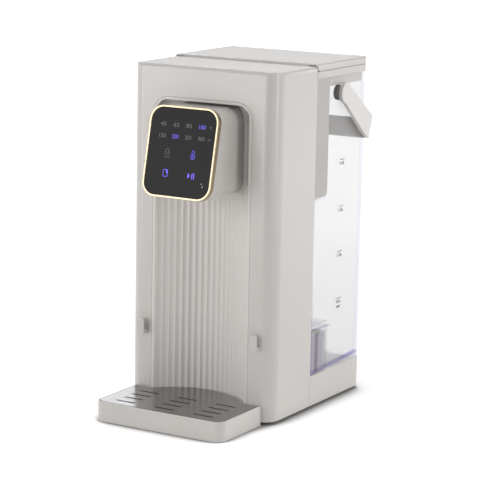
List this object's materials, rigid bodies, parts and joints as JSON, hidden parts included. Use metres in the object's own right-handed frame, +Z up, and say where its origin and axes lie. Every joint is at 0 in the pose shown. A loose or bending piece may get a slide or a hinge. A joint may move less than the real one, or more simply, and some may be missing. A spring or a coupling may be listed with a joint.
{
  "type": "instant hot water dispenser",
  "caption": "Countertop instant hot water dispenser with a fluted cup niche, tilted touch head, slotted drip tray and clear lift-off rear tank with hinged lid and swing handle.",
  "frame": {"origin": "centre of the overall box, on the table", "axes": "+X to the right seen from the front, +Y to the back (the tank side), +Z up; the cup niche faces -Y"},
  "size_m": [0.1514, 0.2394, 0.3],
  "materials": {
    "housing_plastic": "fine satin",
    "panel_plastic": "satin, fluted",
    "inner_plastic": "plain",
    "gold_trim": "anodised pale gold",
    "touch_glass": "polished black",
    "clear_plastic": "clear, polished",
    "steel_plate": "brushed",
    "spring_steel": "drawn wire",
    "heater_steel": "satin",
    "rubber_black": "matte",
    "silicone_hose": "translucent",
    "silicone_seal": "matte",
    "circuit_board": "solder mask",
    "dark_plastic": "plain",
    "grey_plastic": "plain",
    "screw_steel": "zinc plated"
  },
  "bodies": {
    "housing": {"front_housing": "housing_plastic", "fluted_panel": "panel_plastic", "rear_bulkhead": "inner_plastic", "base_pan": "housing_plastic", "rubber_feet": "rubber_black", "tray_hooks": "housing_plastic", "head_shell": "housing_plastic", "bezel": "gold_trim", "touch_glass": "touch_glass", "control_board": "circuit_board", "spout_nozzle": "grey_plastic", "outlet_hose": "silicone_hose", "heater": "heater_steel", "heater_bracket": "inner_plastic", "thermostats": "dark_plastic", "pump": "dark_plastic", "pump_cradle": "rubber_black", "suction_hose": "silicone_hose", "delivery_hose": "silicone_hose", "power_board": "circuit_board", "valve_socket": "grey_plastic", "socket_seal": "silicone_seal", "cord_gland": "rubber_black", "base_screws": "screw_steel"},
    "tank": {"water_tank": "clear_plastic", "tank_collar": "housing_plastic", "tank_spine": "housing_plastic", "valve_body": "grey_plastic", "valve_spring": "spring_steel", "strainer": "inner_plastic", "handle_pins": "housing_plastic"},
    "plunger": {"valve_plunger": "grey_plastic", "plunger_seal": "silicone_seal"},
    "handle": {"tank_handle": "housing_plastic"},
    "lid": {"tank_lid": "housing_plastic", "lid_gasket": "silicone_hose"},
    "tray": {"drip_tray": "housing_plastic"},
    "plate": {"tray_plate": "steel_plate"}
  },
  "joints": [
    {"name": "tank_lift", "type": "slide", "parent": "housing", "child": "tank", "axis": [0, 0, 1], "range_m": [0, 0.28]},
    {"name": "handle_swing", "type": "hinge", "parent": "tank", "child": "handle", "pos_m": [0, 0.061, 0.272], "axis": [1, 0, 0], "range_deg": [0, 124]},
    {"name": "lid_open", "type": "hinge", "parent": "tank", "child": "lid", "pos_m": [0, 0.01805, 0.29695], "axis": [1, 0, 0], "range_deg": [0, 90]},
    {"name": "valve_press", "type": "slide", "parent": "tank", "child": "plunger", "axis": [0, 0, 1], "range_m": [0, 0.002], "stiffness_N_per_m": 300, "springref_m": -0.004, "deforming": ["valve_spring"]},
    {"name": "tray_slide", "type": "slide", "parent": "housing", "child": "tray", "axis": [0, -1, 0], "range_m": [0, 0.09]},
    {"name": "plate_lift", "type": "slide", "parent": "tray", "child": "plate", "axis": [0, 0, 1], "range_m": [0, 0.03]}
  ]
}
